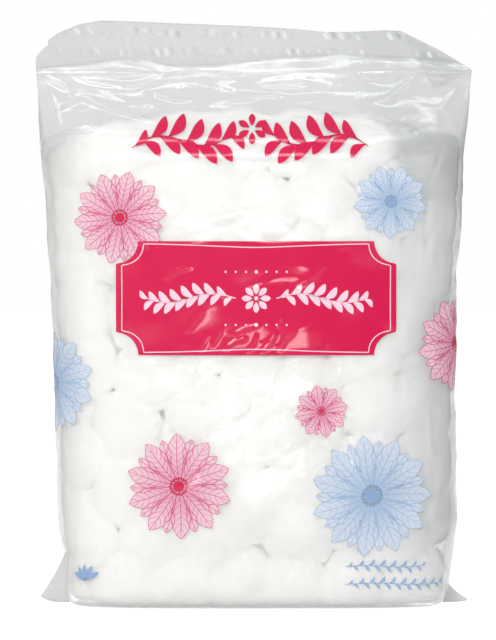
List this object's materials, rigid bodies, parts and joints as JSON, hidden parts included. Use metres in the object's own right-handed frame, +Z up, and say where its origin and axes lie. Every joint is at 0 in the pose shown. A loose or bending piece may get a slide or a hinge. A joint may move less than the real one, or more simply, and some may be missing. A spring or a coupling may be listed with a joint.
{
  "type": "pack of cotton balls",
  "caption": "Clear printed film pack of loose cotton balls, standing on its folded base, heat sealed across the top with the seal's end turned back.",
  "frame": {"origin": "middle of the base that the pack stands on", "axes": "+Z up to the seal, +X across the pack to its right seen from the front, -Y out of the printed front"},
  "size_m": [0.218, 0.0582, 0.2921],
  "materials": {
    "film": "clear, slightly hazy polythene film, glossy, creased, with printed pink and pale blue ornament",
    "cotton": "soft white cotton wool, matte and fluffy"
  },
  "bodies": {
    "root": {"cotton_ball_01": "cotton", "cotton_ball_02": "cotton", "cotton_ball_03": "cotton", "cotton_ball_04": "cotton", "cotton_ball_05": "cotton", "cotton_ball_06": "cotton", "cotton_ball_07": "cotton", "cotton_ball_08": "cotton", "cotton_ball_09": "cotton", "cotton_ball_10": "cotton", "cotton_ball_11": "cotton", "cotton_ball_12": "cotton", "cotton_ball_13": "cotton", "cotton_ball_14": "cotton", "cotton_ball_15": "cotton", "cotton_ball_16": "cotton", "cotton_ball_17": "cotton", "cotton_ball_18": "cotton", "cotton_ball_19": "cotton", "cotton_ball_20": "cotton", "cotton_ball_21": "cotton", "cotton_ball_22": "cotton", "cotton_ball_23": "cotton", "cotton_ball_24": "cotton", "cotton_ball_25": "cotton", "cotton_ball_26": "cotton", "cotton_ball_27": "cotton", "cotton_ball_28": "cotton", "cotton_ball_29": "cotton", "cotton_ball_30": "cotton", "cotton_ball_31": "cotton", "cotton_ball_32": "cotton", "cotton_ball_33": "cotton", "cotton_ball_34": "cotton", "cotton_ball_35": "cotton", "cotton_ball_36": "cotton", "cotton_ball_37": "cotton", "cotton_ball_38": "cotton", "cotton_ball_39": "cotton", "cotton_ball_40": "cotton", "cotton_ball_41": "cotton", "cotton_ball_42": "cotton", "cotton_ball_43": "cotton", "cotton_ball_44": "cotton", "cotton_ball_45": "cotton", "cotton_ball_46": "cotton", "cotton_ball_47": "cotton", "cotton_ball_48": "cotton", "cotton_ball_49": "cotton", "cotton_ball_50": "cotton", "cotton_ball_51": "cotton", "cotton_ball_52": "cotton", "cotton_ball_53": "cotton", "cotton_ball_54": "cotton", "cotton_ball_55": "cotton", "cotton_ball_56": "cotton", "cotton_ball_57": "cotton", "cotton_ball_58": "cotton", "cotton_balls_back": "cotton", "film_bag": "film"}
  },
  "joints": []
}
